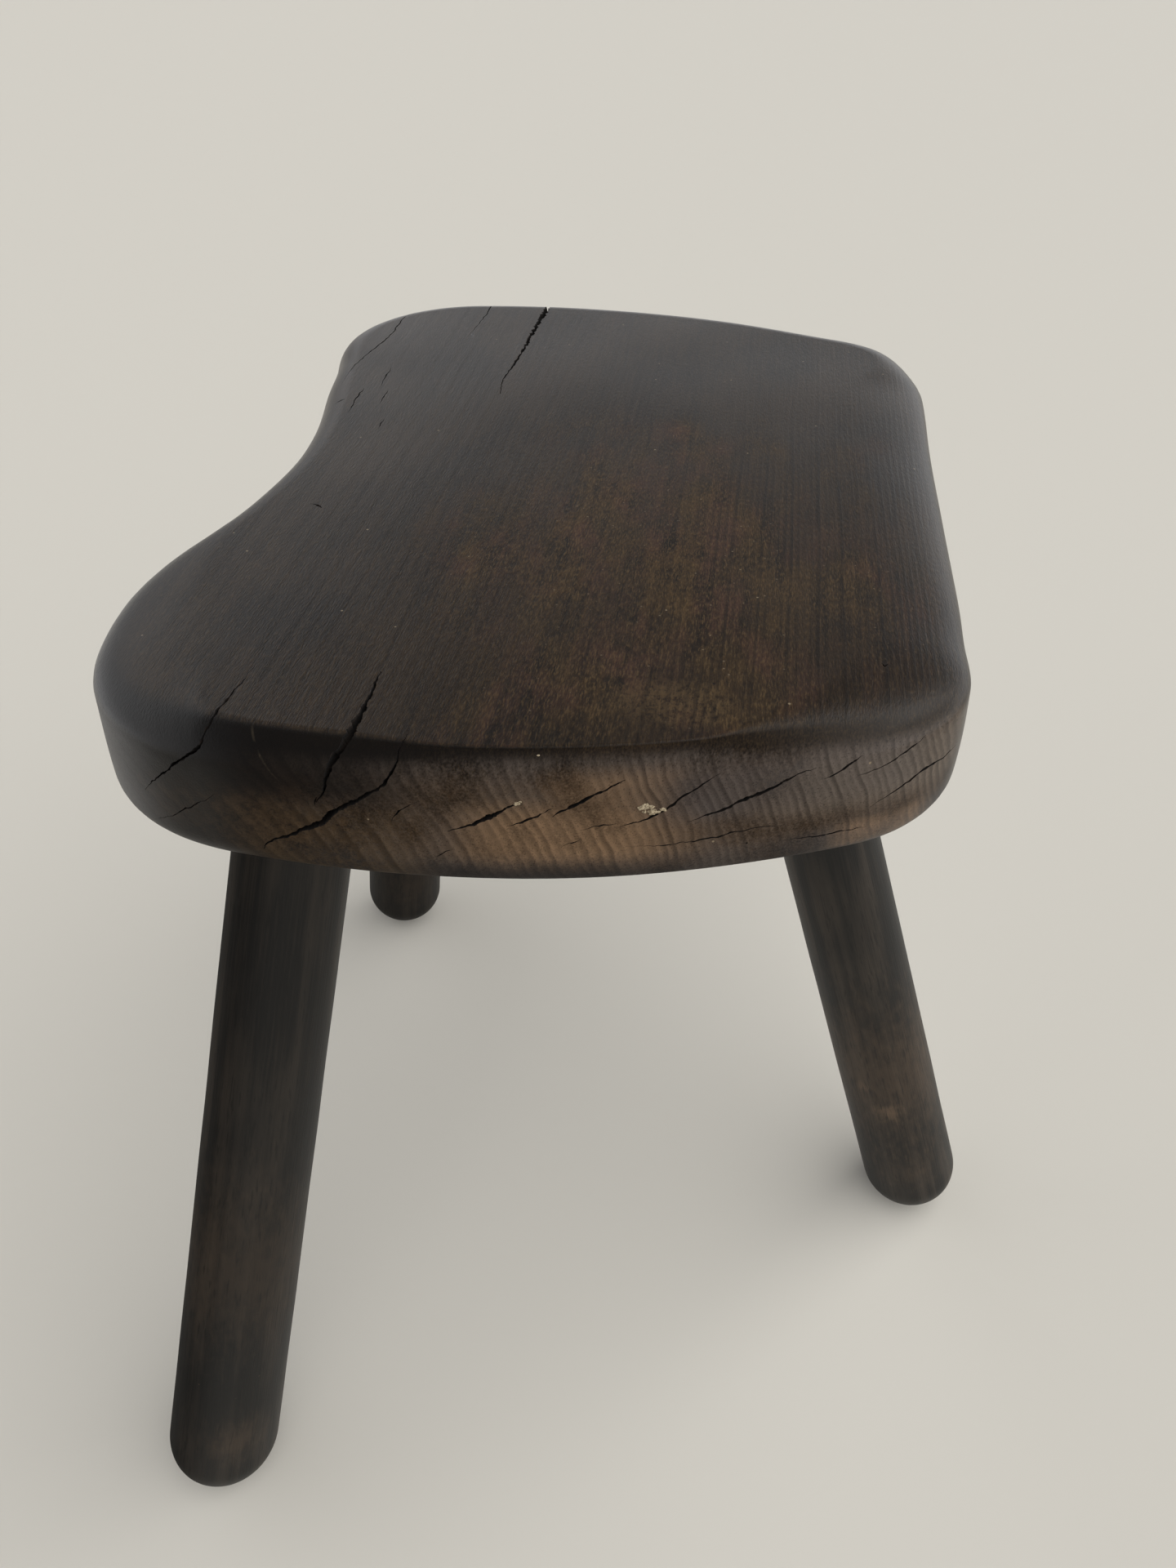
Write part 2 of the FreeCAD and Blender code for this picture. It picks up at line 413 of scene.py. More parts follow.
# Drying cracks and two nicks: photo points along each one, widest gape and depth in millimetres, and
# where along it the widest place is; points beyond the photo's view are in millimetres on the part
cracks = {
    "lobeSplit": dict(
        trace=[(311, 817), (291, 841), (266, 870), (247, 906), (235, 921), (199, 946), (178, 967)],
        gape=1.3, depth=8, peak=0.5),
    "mainSplit": dict(
        trace=[(466, 822), (449, 860), (424, 906), (407, 929), (400, 948), (396, 969), (386, 982)],
        gape=2.9, depth=9, peak=0.55),
    "mainHook": dict(trace=[(390, 974), (384, 983), (388, 990)], gape=0.5, depth=3, peak=0.5),
    "crossSplit": dict(
        trace=[(500, 899), (489, 919), (481, 942), (470, 959), (449, 973), (428, 984), (407, 995),
               (401, 1001), (390, 1009), (357, 1022), (331, 1029), (323, 1039)],
        gape=2.1, depth=9, peak=0.62),
    "lobeHair": dict(
        trace=[(264, 971), (239, 986), (214, 997), (190, 1003)], gape=0.45, depth=4, peak=0.4),
    "rimHairA": dict(
        trace=[(512, 980), (496, 989), (483, 997), (478, 1007)], gape=0.55, depth=4, peak=0.6),
    "rimSplitA": dict(
        trace=[(637, 982), (605, 997), (580, 1009), (548, 1018)], gape=1.8, depth=6, peak=0.45),
    "rimSplitB": dict(
        trace=[(766, 955), (728, 973), (697, 989), (676, 1000)], gape=1.6, depth=6, peak=0.6),
    "rimSplitC": dict(
        trace=[(678, 990), (655, 1000), (639, 1007), (620, 1012)], gape=1.1, depth=5, peak=0.4),
    "rimHairB": dict(trace=[(758, 1007), (731, 1012), (710, 1017)], gape=0.55, depth=4, peak=0.4),
    "rimHairC": dict(trace=[(714, 1027), (700, 1032), (686, 1037)], gape=0.4, depth=4, peak=0.5),
    "rimSplitD": dict(
        trace=[(882, 947), (847, 969), (820, 987), (793, 1002), (757, 1013)], gape=1.2, depth=6, peak=0.5),
    "rimSplitE": dict(
        trace=[(1000, 941), (977, 948), (946, 964), (908, 981), (881, 993), (841, 1006)],
        gape=1.5, depth=7, peak=0.45),
    "rimHairD": dict(
        trace=[(1057, 925), (1042, 935), (1026, 945), (1009, 954)], gape=0.95, depth=5, peak=0.5),
    "cornerHairA": dict(
        trace=[(1134, 900), (1107, 922), (1080, 939), (1050, 950)], gape=0.9, depth=5, peak=0.4),
    "cornerHairB": dict(
        trace=[(1170, 913), (1134, 941), (1111, 958), (1088, 973), (1065, 988)], gape=1.0, depth=5, peak=0.4),
    "lowHairA": dict(
        trace=[(960, 1010), (923, 1014), (839, 1032), (766, 1037)], gape=0.65, depth=4, peak=0.4),
    "lowHairB": dict(trace=[(1061, 1011), (1003, 1023), (961, 1029)], gape=0.65, depth=4, peak=0.4),
    "lowHairC": dict(trace=[(556, 1039), (545, 1044), (533, 1049)], gape=0.45, depth=3, peak=0.5),
    "farSplit": dict(
        trace=[(613, 482), (617, 464), (640, 430), (652, 408), (665, 386)], gape=3.2, depth=10, peak=0.8,
        beyond=[(-62, 210, 421), (-62, 214, 412), (-64, 214, 395), (-67, 214, 386)]),
    "farHairA": dict(
        trace=[(573, 412), (590, 392), (598, 381)], gape=0.7, depth=5, peak=0.6,
        beyond=[(-91, 212, 420), (-92, 213, 402)]),
    "farHairB": dict(
        trace=[(419, 469), (434, 448), (452, 432), (468, 419), (481, 407), (493, 391), (500, 386)],
        gape=0.8, depth=5, peak=0.4,
        beyond=[(-116, 204, 418), (-119, 204, 404)]),
    "farHairC": dict(trace=[(446, 475), (434, 491), (426, 505)], gape=0.8, depth=4, peak=0.4),
    "farHairD": dict(trace=[(479, 450), (472, 462), (466, 472)], gape=0.6, depth=4, peak=0.5),
    "farHairE": dict(trace=[(475, 477), (470, 486), (465, 494)], gape=0.6, depth=3, peak=0.5),
    "farHairF": dict(trace=[(470, 512), (463, 525)], gape=0.5, depth=3, peak=0.5),
    "waistHair": dict(trace=[(423, 488), (410, 495)], gape=0.7, depth=3, peak=0.5),
    "waistNick": dict(trace=[(380, 617), (388, 618), (394, 622)], gape=1.4, depth=1.5, peak=0.6),
    "cornerNick": dict(trace=[(1079, 812), (1083, 816), (1088, 813)], gape=0.9, depth=1.2, peak=0.5),
}
crackShape = dict(
    step=0.6 * mm,
    lift=1.0 * mm,          # how far each cutting blade stands out of the wood
    swellPower=0.85,        # shape of the gape from either end to the widest place
    thinnest=0.1,           # least share of the gape
    endDepth=0.35,          # share of the depth at the ends
    ragged=0.85,            # mean share of the gape, torn to and fro by these waves
    raggedWaves=((2.2 * mm, 0.65), (0.8 * mm, 0.45)),
    wander=0.5 * mm,
    wanderWaves=((5 * mm, 1.0), (1.6 * mm, 0.7)),
)


# Curve through the points, in steps of about the given length
def smoothThrough(points, step):
    ends = [2 * points[0] - points[1]] + points + [2 * points[-1] - points[-2]]
    path = []
    for a, b, c, d in zip(ends, ends[1:], ends[2:], ends[3:]):
        pieces = max(1, round((c - b).length / step))
        for k in range(pieces):
            t = k / pieces
            path.append(0.5 * (2 * b + (c - a) * t + (2 * a - 5 * b + 4 * c - d) * t * t
                               + (3 * b - a - 3 * c + d) * t ** 3))
    return path + [points[-1]]


def crackBlade(name, crack, surface):
    hits = [seenAt(surface, pixel)[0] for pixel in crack["trace"]]
    hits = [place for place in hits if place is not None]
    hits += [Vector(point) * mm for point in crack.get("beyond", [])]
    path = smoothThrough(hits, crackShape["step"])
    lift, endDepth = crackShape["lift"], crackShape["endDepth"]
    bm = bmesh.new()
    rows = []
    last = len(path) - 1
    for i, place in enumerate(path):
        place, normal = surface.find_nearest(place)[:2]
        along = (path[min(i + 1, last)] - path[max(i - 1, 0)]).normalized()
        side = normal.cross(along).normalized()
        share = i / last
        peak = crack["peak"]
        swell = (share / peak if share < peak else (1 - share) / (1 - peak)) ** crackShape["swellPower"]
        ragged = crackShape["ragged"] + waves(place, crackShape["raggedWaves"])
        half = crack["gape"] * mm / 2 * max(crackShape["thinnest"], swell * ragged)
        wander = crackShape["wander"] * waves(place, crackShape["wanderWaves"])
        centre = place + side * wander
        depth = crack["depth"] * mm * (endDepth + (1 - endDepth) * swell)
        spread = half * (depth + lift) / depth
        rows.append([bm.verts.new(centre + normal * lift - side * spread),
                     bm.verts.new(centre + normal * lift + side * spread),
                     bm.verts.new(centre - normal * depth)])
    for before, after in zip(rows, rows[1:]):
        for k in range(3):
            m = (k + 1) % 3
            bm.faces.new((before[k], before[m], after[m], after[k]))
    bm.faces.new(rows[0][::-1])
    bm.faces.new(rows[-1])
    bmesh.ops.recalc_face_normals(bm, faces=bm.faces[:])
    for face in bm.faces:
        face.material_index = 1
    return newPiece("cut_" + name, bm, [seatWood, crackWood])


# Turned legs, each on the axis of its CAD node
legShape = dict(
    seeds=dict(near_leg=0.0, side_leg=1.7, far_leg=3.1),    # so that each leg has hollows of its own
    footRound=25 * mm,
    neckRound=20 * mm,
    footWear=0.3 * mm,
    tenonRound=14 * mm,
    tenonLength=30 * mm,
    tenonChamfer=1.5 * mm,
    levelFrom=36 * mm,      # over this length the rings turn level with the underside
    levelWithin=0.05 * mm,  # points this near a height lie on it
    around=96,
    footRings=18,
    shankRings=150,
    hollow=0.35 * mm,       # deepest of the tool's hollows
    hollowLength=42 * mm,
    hollowStop=4 * mm,      # none this close to the seat
    fluteLength=9 * mm,     # finer hollows, drawn out along the leg
    fluteStretch=0.2,
    fluteShare=0.3,
    crispAngle=30,
)


def boxMiddle(points):
    return Vector([(min(p[k] for p in points) + max(p[k] for p in points)) / 2 for k in range(3)])


# Middle of the foot's ball, and of the shoulder under the seat
def legAxis(node):
    points = [node.matrix_world @ vert.co for vert in node.data.vertices]
    low = boxMiddle([point for point in points if point.z < legShape["levelWithin"]])
    high = boxMiddle([point for point in points if abs(point.z - seatLow.z) < legShape["levelWithin"]])
    ball = low + Vector((0, 0, legShape["footRound"] - legShape["footWear"]))
    return ball, high


def axisMatrix(ball, neck):
    upward = (neck - ball).normalized()
    across = Vector((0, 1, 0)).cross(upward).normalized()
    turn = Matrix((across, upward.cross(across), upward)).transposed()
    return Matrix.Translation(neck) @ turn.to_4x4()


def mortiseCutter(name):
    ball, neck = legAxis(nodes[name])
    bm = bmesh.new()
    radius, depth = seatShape["mortiseRound"], seatShape["mortiseDepth"]
    length = depth + 2 * radius
    placed = axisMatrix(ball, neck) @ Matrix.Translation((0, 0, depth - length / 2))
    bmesh.ops.create_cone(bm, cap_ends=True, segments=seatShape["mortiseSides"], radius1=radius,
                          radius2=radius, depth=length, matrix=placed)
    return newPiece("cut_" + name, bm, [seatWood, crackWood])


# Folded-over slivers and loose chips that the cuts leave behind
def dropScraps(piece):
    bm = bmesh.new()
    bm.from_mesh(piece.data)
    bmesh.ops.triangulate(bm, faces=[face for face in bm.faces if len(face.verts) > 4])
    twins = {}
    for face in bm.faces:
        twins.setdefault(frozenset(face.verts), []).append(face)
    folded = [face for faces in twins.values() if len(faces) > 1 for face in faces]
    bmesh.ops.delete(bm, geom=folded, context="FACES")
    unseen = set(bm.faces)
    chips = []
    while unseen:
        island = [unseen.pop()]
        for face in island:
            touching = {other for edge in face.edges for other in edge.link_faces} & unseen
            unseen -= touching
            island += touching
        if len(island) < seatShape["chipFaces"]:
            chips += island
    bmesh.ops.delete(bm, geom=chips, context="FACES")
    bm.to_mesh(piece.data)
    bm.free()
    print("scraps dropped", len(folded), "slivers", len(chips), "chip faces")


# Cuts the slab, and returns its surface as it was before the cuts
def makeSeat():
    seat = buildSlab()
    surface = surfaceOf(seat)
    tools = bpy.data.collections.new("cuts")
    scene.collection.children.link(tools)
    cutters = [crackBlade(name, crack, surface) for name, crack in cracks.items()]
    cutters += [mortiseCutter(name) for name in legShape["seeds"]]
    for cutter in cutters:
        scene.collection.objects.unlink(cutter)
        tools.objects.link(cutter)
    cutAway(seat, tools)
    dropScraps(seat)
    for cutter in cutters:
        bpy.data.objects.remove(cutter)
    bpy.data.collections.remove(tools)
    shadeSmooth(seat, seatShape["crispAngle"])
    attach(seat, "root")
    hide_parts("seat")
    print("seat cut", len(seat.data.polygons), "faces")
    return surface


seatSurface = makeSeat()


def makeLeg(name, seed):
    ball, neck = legAxis(nodes[name])
    toWorld = axisMatrix(ball, neck)
    length = (neck - ball).length
    footRound, neckRound = legShape["footRound"], legShape["neckRound"]
    taper = math.asin((footRound - neckRound) / length)
    turns = [2 * math.pi * i / legShape["around"] for i in range(legShape["around"])]
    up = toWorld.to_3x3().transposed() @ Vector((0, 0, 1))    # world's up, in the leg's own axes

    # One ring at a height along the axis; level turns it parallel with the seat's underside
    def ring(radius, height, level=0.0):
        points = []
        for turn in turns:
            flat = Vector((math.cos(turn), math.sin(turn), 0)) * radius
            points.append(flat + Vector((0, 0, height - level * flat.dot(up) / up.z)))
        return points

    rings = []
    for k in range(1, legShape["footRings"] + 1):
        turn = k / legShape["footRings"] * (math.pi / 2 + taper)
        rings.append(ring(footRound * math.sin(turn), -length - footRound * math.cos(turn)))
    low = -length + footRound * math.sin(taper)
    widest = footRound * math.cos(taper)
    for k in range(1, legShape["shankRings"] + 1):
        height = low - low * k / legShape["shankRings"]
        radius = widest + (neckRound - widest) * k / legShape["shankRings"]
        rings.append(ring(radius, height, easeStep(height, -legShape["levelFrom"], 0)))
    tenonRound, tenonEnd = legShape["tenonRound"], legShape["tenonLength"]
    chamfer = legShape["tenonChamfer"]
    rings.append(ring(tenonRound, 0, 1.0))
    rings.append(ring(tenonRound, tenonEnd - chamfer))
    rings.append(ring(tenonRound - chamfer, tenonEnd))
    bm = bmesh.new()
    joinRings(bm, rings, (0, 0, -length - footRound), (0, 0, tenonEnd))
    bm.normal_update()
    share = legShape["fluteShare"]
    for vert in bm.verts:
        if vert.co.z < -legShape["hollowStop"]:
            place = vert.co + Vector((seed, 0, 0))
            drawn = Vector((place.x, place.y, place.z * legShape["fluteStretch"]))
            wave = (1 - share) * noise.noise(place / legShape["hollowLength"])
            wave += share * noise.noise(drawn / legShape["fluteLength"])
            vert.co -= vert.normal * legShape["hollow"] * (0.5 + 0.5 * wave)
    bmesh.ops.transform(bm, matrix=toWorld, verts=bm.verts[:])
    for vert in bm.verts:
        vert.co.z = max(vert.co.z, 0.0)    # flat worn on the foot by the floor
    material = bpy.data.materials.new(name + "_wood")
    leg = newPiece("stool_" + name, bm, [material])
    cutAway(leg, nodes[name + "_wedge"])    # the kerf that the wedge sits in
    shadeSmooth(leg, legShape["crispAngle"])
    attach(leg, "root")
    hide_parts(name)
    print(name, "turned", len(leg.data.polygons), "faces")
    return material, toWorld, surfaceOf(leg)


legFinishes = {name: makeLeg(name, seed) for name, seed in legShape["seeds"].items()}


# Crumbs of pale filler in and near the rim's cracks: photo place, and radius in millimetres
crumbs = [
    dict(place=(785, 989), size=0.8),
    dict(place=(791, 987), size=1.0),
    dict(place=(797, 988), size=0.8),
    dict(place=(799, 994), size=1.1),
    dict(place=(805, 994), size=0.6),
    dict(place=(812, 991), size=0.7),
    dict(place=(789, 994), size=0.5),
    dict(place=(633, 984), size=0.7),
    dict(place=(637, 982), size=0.4),
    dict(place=(659, 925), size=0.3),
]
crumbShape = dict(
    splits=3,
    squash=(1.2, 0.9, 0.6),     # along the wood both ways, and out of it
    rough=0.55,
    roughWaves=((0.7 * mm, 1.0), (0.3 * mm, 0.6)),
    crispAngle=40,
)


def makeCrumbs():
    bm = bmesh.new()
    squash = Matrix.Diagonal((*crumbShape["squash"], 1.0))
    for crumb in crumbs:
        place, normal = seenAt(seatSurface, crumb["place"])
        lay = normal.to_track_quat("Z", "Y").to_matrix().to_4x4()
        made = bmesh.ops.create_icosphere(bm, subdivisions=crumbShape["splits"], radius=crumb["size"] * mm,
                                          matrix=Matrix.Translation(place) @ lay @ squash)
        for vert in made["verts"]:
            rough = crumbShape["rough"] * waves(vert.co, crumbShape["roughWaves"])
            vert.co = place + (vert.co - place) * (1 + rough)
    piece = newPiece("fillerCrumbs", bm, [fillerPaint])
    shadeSmooth(piece, crumbShape["crispAngle"])
    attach(piece, "root")
    print("crumbs laid", len(crumbs))


makeCrumbs()


# Finishes
def startNodes(owner):
    owner.use_nodes = True
    owner.node_tree.nodes.clear()
    return Wire(owner.node_tree)


# Colour between two, by a value over the surface
def blend(share, first, second):
    return share.node("ShaderNodeMix", {"data_type": "RGBA"}, {0: share, 6: first, 7: second}, 2)


# 0 at low, 1 at high, eased between; low may be the greater. With four limits it goes back to 0
def ease(value, low, high, fall=None, end=None):
    risen = value.node("ShaderNodeMapRange", {"interpolation_type": "SMOOTHSTEP"},
                       {"Value": value, "From Min": low, "From Max": high})
    return risen if fall is None else risen * ease(value, end, fall)


def greatest(first, *others):
    for other in others:
        first = first.math("MAXIMUM", first, other)
    return first


# Noise from 0 to 1, with a frequency per millimetre along each axis
def speckle(where, stretch, detail=2.0, roughness=0.5):
    scaled = where.node("ShaderNodeVectorMath", {"operation": "MULTIPLY"}, {0: where, 1: stretch})
    return where.node("ShaderNodeTexNoise", {}, {"Vector": scaled, "Scale": 1.0, "Detail": detail,
                                                 "Roughness": roughness})


# Scattered round specks, one in each cell of a grid, in millimetres; the core is their solid share
def specks(where, cell, size, seed, core=0.6):
    moved = where.node("ShaderNodeVectorMath", {"operation": "ADD"}, {0: where, 1: (seed, seed, seed)})
    scaled = where.node("ShaderNodeVectorMath", {"operation": "SCALE"}, {0: moved, "Scale": 1 / cell})
    distance = where.node("ShaderNodeTexVoronoi", {}, {"Vector": scaled, "Scale": 1.0})
    return ease(distance, size / cell, core * size / cell)


# Squared distance from the middle of an oval, 1 on its edge
def oval(x, y, middle, size):
    return ((x - middle[0]) / size[0]) ** 2.0 + ((y - middle[1]) / size[1]) ** 2.0


def millimetres(start):
    place = start.node("ShaderNodeTexCoord", {}, {}, "Object")
    return start.node("ShaderNodeVectorMath", {"operation": "SCALE"}, {0: place, "Scale": 1 / mm})


def axes(vector):
    return [vector.node("ShaderNodeSeparateXYZ", {}, {0: vector}, k) for k in range(3)]


def facing(start):
    return axes(start.node("ShaderNodeNewGeometry", {}, {}, "Normal"))


# Where the wax is gone, this finish shows through
mattFinish = dict(roughness=0.75, gloss=0.06)


def shade(start, colour, roughness, height, depth, gloss=0.3, dry=None):
    bump = start.node("ShaderNodeBump", {}, {"Height": height, "Strength": 1.0, "Distance": depth})

    def coat(rough, shine):
        return start.node("ShaderNodeBsdfPrincipled", {}, {"Base Color": colour, "Roughness": rough,
                                                           "Normal": bump, "Specular IOR Level": shine})

    shader = coat(roughness, gloss)
    if dry is not None:
        matt = coat(mattFinish["roughness"], mattFinish["gloss"])
        shader = start.node("ShaderNodeMixShader", {}, {0: dry, 1: shader, 2: matt})
    start.node("ShaderNodeOutputMaterial", {}, {"Surface": shader})


# Seat: one plank; its growth rings are shells round a pith line along Y, below and left of it
seatPaint = dict(
    pith=(-180, 332),
    ringRate=0.00135,       # rings stand closer the further they are from the pith
    ringPower=1.919,
    ringSweep=9,            # slow and quick bends of the rings, in millimetres
    ringWobble=2.2,
    paleRing=135.4,         # one pale ring's distance from the pith
    wornOval=dict(middle=(28, -55), size=(82, 118)),
    paleOval=dict(middle=(30, -133), size=(17, 12)),
    fineFlecks=(4.5, 0.42, 17.0),       # cell, size and seed of scattered specks
    paleFlecks=(13, 0.5, 3.0),
    darkFlecks=(23, 0.6, 41.0),
    bumpDepth=0.14 * mm,
    gloss=0.36,
    deepStain=tint(21, 16, 12),
    midStain=tint(41, 32, 23),
    wornBrown=tint(65, 49, 29),
    wornRed=tint(69, 47, 37),
    paleFibre=tint(98, 79, 52),
    endBrown=tint(76, 68, 62),
    endTan=tint(124, 100, 77),
    bareBrown=tint(90, 72, 50),
    ashBrown=tint(124, 114, 104),
    sideBrown=tint(54, 41, 30),
    ringDark=tint(18, 13, 10),
    # shade painted on the near end's rounded edge and the upper left of its rim
    shadeBlack=tint(12, 10, 9),
    # near black for the darker bottom of the slab and for shade painted on the near lobe
    coolBlack=tint(14, 13, 13),
    # pale grey for dust low on the rim and for a sheen painted on the lobe's left side
    dustAndSheenGrey=tint(98, 98, 100),
    # a sheen painted on the right of the near rim
    rimSheenGrey=tint(72, 70, 72),
    paleFleck=tint(140, 126, 104),
)

# Stretch, detail and roughness of each noise, in the order in which paintSeat takes them
seatGrain = dict(
    sweep=((0.013, 0.0025, 0.013), 2.0, 0.5),
    wobble=((0.14, 0.012, 0.14), 1.0, 0.5),
    fibre=((1.4, 0.05, 1.4), 3.0, 0.65),
    streak=((0.4, 0.015, 0.4), 3.0, 0.6),
    dash=((2.2, 0.4, 2.2), 2.0, 0.6),
    fuzz=((0.75, 0.45, 0.75), 3.0, 0.7),
    cloud=((0.024, 0.014, 0.024), 3.0, 0.55),
    patch=((0.06, 0.03, 0.06), 2.0, 0.5),
    hue=((0.047, 0.021, 0.047), 2.0, 0.5),
    mottle=((0.13, 0.07, 0.13), 2.0, 0.6),
)

# Where each look lies: limits for ease, along the part's axes in millimetres or of the face's normal
seatPlaces = dict(
    flat=dict(nz=(0.93, 0.985)),
    roundShade=dict(nz=(0.6, 0.85, 0.95, 0.99)),
    sides=dict(nz=(0.7, 0.3)),
    endFace=dict(ny=(0.3, 0.7), nz=(0.95, 0.7)),
    near=dict(ny=(-0.3, -0.75)),
    nearEnd=dict(y=(-118, -148)),
    front=dict(y=(-104, -120)),
    away=dict(y=(60, 120)),
    brown=dict(x=(-105, -25)),
    wallBand=dict(z=(384, 394, 416, 424)),
    tanMiddle=dict(x=(-38, -8, 14, 56), z=(384, 394, 404, 420)),
    tanUpper=dict(x=(-8, 8, 26, 46), z=(398, 408, 418, 424)),
    tanCorner=dict(x=(74, 86, 101, 112), z=(381, 386, 391, 398)),
    tanThin=dict(x=(-62, -25, 108, 124), z=(384, 394, 416, 424)),
    grey=dict(x=(18, 42, 92, 112), z=(399, 408, 416, 424)),
    ash=dict(x=(48, 80), z=(396, 404, 415, 423)),
    ringLines=dict(x=(0, 50), y=(80, 0)),
    darkEdge=dict(x=(20, -50)),
    leftRimShade=dict(x=(-22, -55), z=(405, 416)),
    low=dict(z=(395, 388)),
    lowSpared=dict(x=(0, 50)),
    dust=dict(x=(-90, -60), z=(397, 389)),
    dustCorner=dict(x=(50, 90)),
    bare=dict(z=(412, 402)),
    bareLeft=dict(x=(-26, -46)),
    bareBrown=dict(x=(-102, -76)),
    lobe=dict(x=(-50, -100), y=(-70, -130)),
    lobeSheen=dict(nx=(-0.25, -0.75), z=(380, 392), y=(-50, -105)),
    pale=dict(y=(-105, -130), z=(412, 422)),
    dryNear=dict(x=(-120, -75)),
    dryWall=dict(nz=(0.5, 0.1)),
    dryCorner=dict(x=(50, 80), nz=(0.97, 0.85)),
)


def paintSeat():
    start = startNodes(seatWood)
    where = millimetres(start)
    x, y, z = axes(where)
    nx, ny, nz = facing(start)
    measures = dict(x=x, y=y, z=z, nx=nx, ny=ny, nz=nz)

    # Share of a look over the surface; a measure given here stands in for the plain one
    def spread(look, **given):
        first, *others = [ease(given.get(axis, measures[axis]), *limits)
                          for axis, limits in seatPlaces[look].items()]
        for other in others:
            first = first * other
        return first

    sweep, wobble, fibre, streak, dash, fuzz, cloud, patch, hue, mottle = (
        speckle(where, *look) for look in seatGrain.values())
    pithX, pithZ = seatPaint["pith"]
    across, above = x - pithX, z - pithZ
    reach = (across * across + above * above) ** 0.5
    bend = (sweep - 0.5) * seatPaint["ringSweep"] + (wobble - 0.5) * seatPaint["ringWobble"]
    rings = (reach + bend) ** seatPaint["ringPower"] * seatPaint["ringRate"]
    phase = rings.math("FRACT", rings, 0.0)
    number = rings.math("FLOOR", rings, 0.0)
    each = rings.node("ShaderNodeTexWhiteNoise", {"noise_dimensions": "1D"}, {"W": number})
    late = ease(phase, 0.0, 0.7, 0.75, 1.0) * (0.35 + 0.65 * each) * ease(patch, 0.2, 0.55)

    flat = spread("flat")
    nearEnd = spread("nearEnd")
    endFace = spread("endFace", ny=abs(ny), nz=abs(nz))
    near = spread("near")
    front = spread("front") * (1 - flat)
    away = spread("away")

    stain = ease(cloud * 0.4 + streak * 0.25 + fibre * 0.35, 0.4, 0.6)
    colour = blend(stain, seatPaint["deepStain"], seatPaint["midStain"])
    # Worn through the stain by use, in the middle of the top
    worn = oval(x, y, **seatPaint["wornOval"]) + (cloud - 0.5) * 3.0 + (patch - 0.5) * 1.6
    worn = ease(worn, 1.5, -0.7) * flat
    rubbed = blend(ease(hue, 0.42, 0.62), seatPaint["wornBrown"], seatPaint["wornRed"])
    colour = blend(worn * ease(fuzz * 0.3 + streak * 0.3 + mottle * 0.4, 0.36, 0.6), colour, rubbed)
    colour = blend(ease(dash, 0.46, 0.74) * (0.17 + 0.52 * worn), colour, seatPaint["paleFibre"])
    spot = ease(oval(x, y, **seatPaint["paleOval"]) + (cloud - 0.5) * 1.5, 1.5, 0.2) * flat
    colour = blend(spot * ease(fuzz, 0.35, 0.6) * 0.45, colour, seatPaint["paleFibre"])
    # Long grain on the sides, stain taken up unevenly by the end grain, and a painted sheen on the near rim's
    # right
    side = spread("sides") * ease(streak * 0.55 + cloud * 0.45, 0.42, 0.62)
    colour = blend(side * 0.75, colour, seatPaint["sideBrown"])
    brown = endFace * (spread("brown") + away) * ease(patch * 0.6 + fibre * 0.4, 0.35, 0.65)
    colour = blend(brown, colour, seatPaint["endBrown"])
    tan = near * greatest(spread("tanMiddle"), spread("tanUpper") * 0.6, spread("tanCorner") * 0.9,
                          spread("tanThin") * 0.18)
    tan = tan + endFace * away * spread("wallBand") * ease(cloud, 0.45, 0.7) * 0.5
    tan = tan * ease(patch * 0.75 + fibre * 0.25, 0.22, 0.55)
    colour = blend(tan * (0.9 + 0.8 * (fuzz - 0.5)), colour, seatPaint["endTan"])
    # Painted sheen: greyer on the right of the near rim, where the matt end grain would catch light
    colour = blend(near * spread("grey") * (0.1 + 0.7 * cloud), colour, seatPaint["rimSheenGrey"])
    colour = blend(front * spread("ash") * (0.15 + 0.3 * fuzz), colour, seatPaint["ashBrown"])
    # Growth rings, then painted shade on the near end's rounded edge, its upper left rim and the near lobe,
    # darker towards the bottom, dust, bare wood, and a painted sheen on the lobe's left side
    lines = late * (0.16 + 0.6 * spread("ringLines") * flat + 0.4 * endFace)
    colour = blend(lines, colour, seatPaint["ringDark"])
    # Painted shade: the near end's rounded edge darkened, most to the left, where it turns from the light
    roundShade = spread("roundShade") * nearEnd * (0.18 + 0.7 * spread("darkEdge"))
    colour = blend(roundShade, colour, seatPaint["shadeBlack"])
    # Painted shade: the upper part of the near rim's left side darkened where it faces away from the light
    leftRimShade = near * spread("leftRimShade", z=z + (patch - 0.5) * 10)
    colour = blend(leftRimShade * 0.7, colour, seatPaint["shadeBlack"])
    low = spread("low", z=z + (patch - 0.5) * 7 + (fuzz - 0.5) * 6)
    low = low * (1 - flat) * (1 - 0.85 * near * spread("lowSpared"))
    colour = blend(low * 0.62, colour, seatPaint["coolBlack"])
    dust = front * spread("dust") * (0.1 + 0.1 * spread("dustCorner"))
    colour = blend(dust, colour, seatPaint["dustAndSheenGrey"])
    bare = near * spread("bare") * ease(patch * 0.3 + fuzz * 0.4 + streak * 0.3, 0.34, 0.6)
    # Painted shade: the near lobe's rounded sides darkened towards black, less where bare wood shows
    lobe = spread("lobe") * (1 - flat) * (1 - 0.5 * bare)
    colour = blend(lobe * 0.78, colour, seatPaint["coolBlack"])
    bare = bare * spread("bareLeft")
    colour = blend(bare * spread("bareBrown") * 0.36, colour, seatPaint["bareBrown"])
    colour = blend(bare * late * 0.5, colour, seatPaint["ringDark"])
    # Painted sheen: pale grey on the lobe's left-facing side, standing in for the reflection of a bright wall
    lobeSheen = spread("lobeSheen") * (1 - flat) * (0.55 + 0.4 * cloud)
    colour = blend(lobeSheen, colour, seatPaint["dustAndSheenGrey"])
